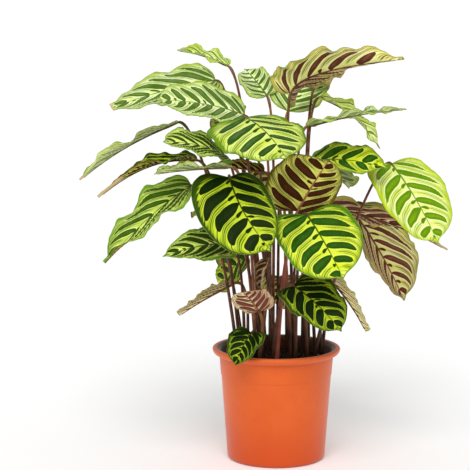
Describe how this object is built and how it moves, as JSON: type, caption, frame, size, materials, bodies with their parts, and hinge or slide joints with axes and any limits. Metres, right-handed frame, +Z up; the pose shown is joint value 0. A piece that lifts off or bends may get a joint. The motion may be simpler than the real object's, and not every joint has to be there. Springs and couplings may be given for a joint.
{
  "type": "potted peacock plant",
  "caption": "Peacock plant with dark-blotched round leaves on brown stalks, in a terracotta-coloured plastic pot.",
  "frame": {"origin": "middle of the underside of the pot", "axes": "+Z up, the way the stalks grow; -Y towards the side that most leaves face, +X to the right of it"},
  "size_m": [0.4859, 0.3545, 0.548],
  "materials": {
    "terracotta_plastic": "satin",
    "potting_soil": "matte",
    "stalk_brown": "satin",
    "leaf_dark": "satin",
    "leaf_bright": "satin",
    "leaf_lime": "satin",
    "leaf_pale": "satin",
    "leaf_dry": "matte"
  },
  "bodies": {
    "root": {"pot": "terracotta_plastic", "soil": "potting_soil", "shoot_left_front": "stalk_brown", "shoot_left_middle": "stalk_brown", "shoot_front_left": "stalk_brown", "shoot_front": "stalk_brown", "shoot_front_right": "stalk_brown", "shoot_right_front": "stalk_brown", "shoot_right": "stalk_brown", "shoot_centre": "stalk_brown", "shoot_middle": "stalk_brown", "shoot_left_back": "stalk_brown", "shoot_back_left": "stalk_brown", "shoot_right_back": "stalk_brown", "shoot_back_right": "stalk_brown", "shoot_back": "stalk_brown", "leaf_01_top_small": "leaf_pale", "leaf_02_upper_left_back": "leaf_pale", "leaf_03_upper_left_front": "leaf_pale", "leaf_04_top_back": "leaf_pale", "leaf_05_top_right": "leaf_bright", "leaf_06_top_middle_back": "leaf_pale", "leaf_07_right_drooping": "leaf_lime", "leaf_08_right_edge_on": "leaf_pale", "leaf_09_centre": "leaf_lime", "leaf_10_far_left_drooping": "leaf_pale", "leaf_11_left_drooping": "leaf_dark", "leaf_12_left_striped": "leaf_bright", "leaf_13_left_edge_on": "leaf_pale", "leaf_14_behind_front": "leaf_dark", "leaf_15_front_dark": "leaf_dark", "leaf_16_front_bright": "leaf_bright", "leaf_17_right_pale": "leaf_lime", "leaf_18_right_green": "leaf_bright", "leaf_19_upright_back_side": "leaf_dark", "leaf_20_low_right": "leaf_bright", "leaf_21_right_folded": "leaf_dark", "leaf_22_left_wavy": "leaf_bright", "leaf_23_left_lower": "leaf_bright", "leaf_24_between_stalks": "leaf_lime", "leaf_25_low_rolled": "leaf_dry", "leaf_26_low_small": "leaf_dry", "leaf_27_over_rim": "leaf_dark", "leaf_28_low_right_dark": "leaf_dark", "leaf_29_low_right_rolled": "leaf_dry", "leaf_30_between_folded": "leaf_dry", "leaf_31_back_top": "leaf_bright", "leaf_32_back_right_top": "leaf_lime", "leaf_33_back_middle": "leaf_dark", "leaf_34_back_left": "leaf_bright", "leaf_35_back_right": "leaf_dark", "leaf_36_back_low_left": "leaf_bright", "leaf_37_back_low_right": "leaf_bright", "leaf_38_back_low": "leaf_dark", "leaf_39_back_upper_left": "leaf_bright", "leaf_40_back_top_right": "leaf_lime"}
  },
  "joints": []
}
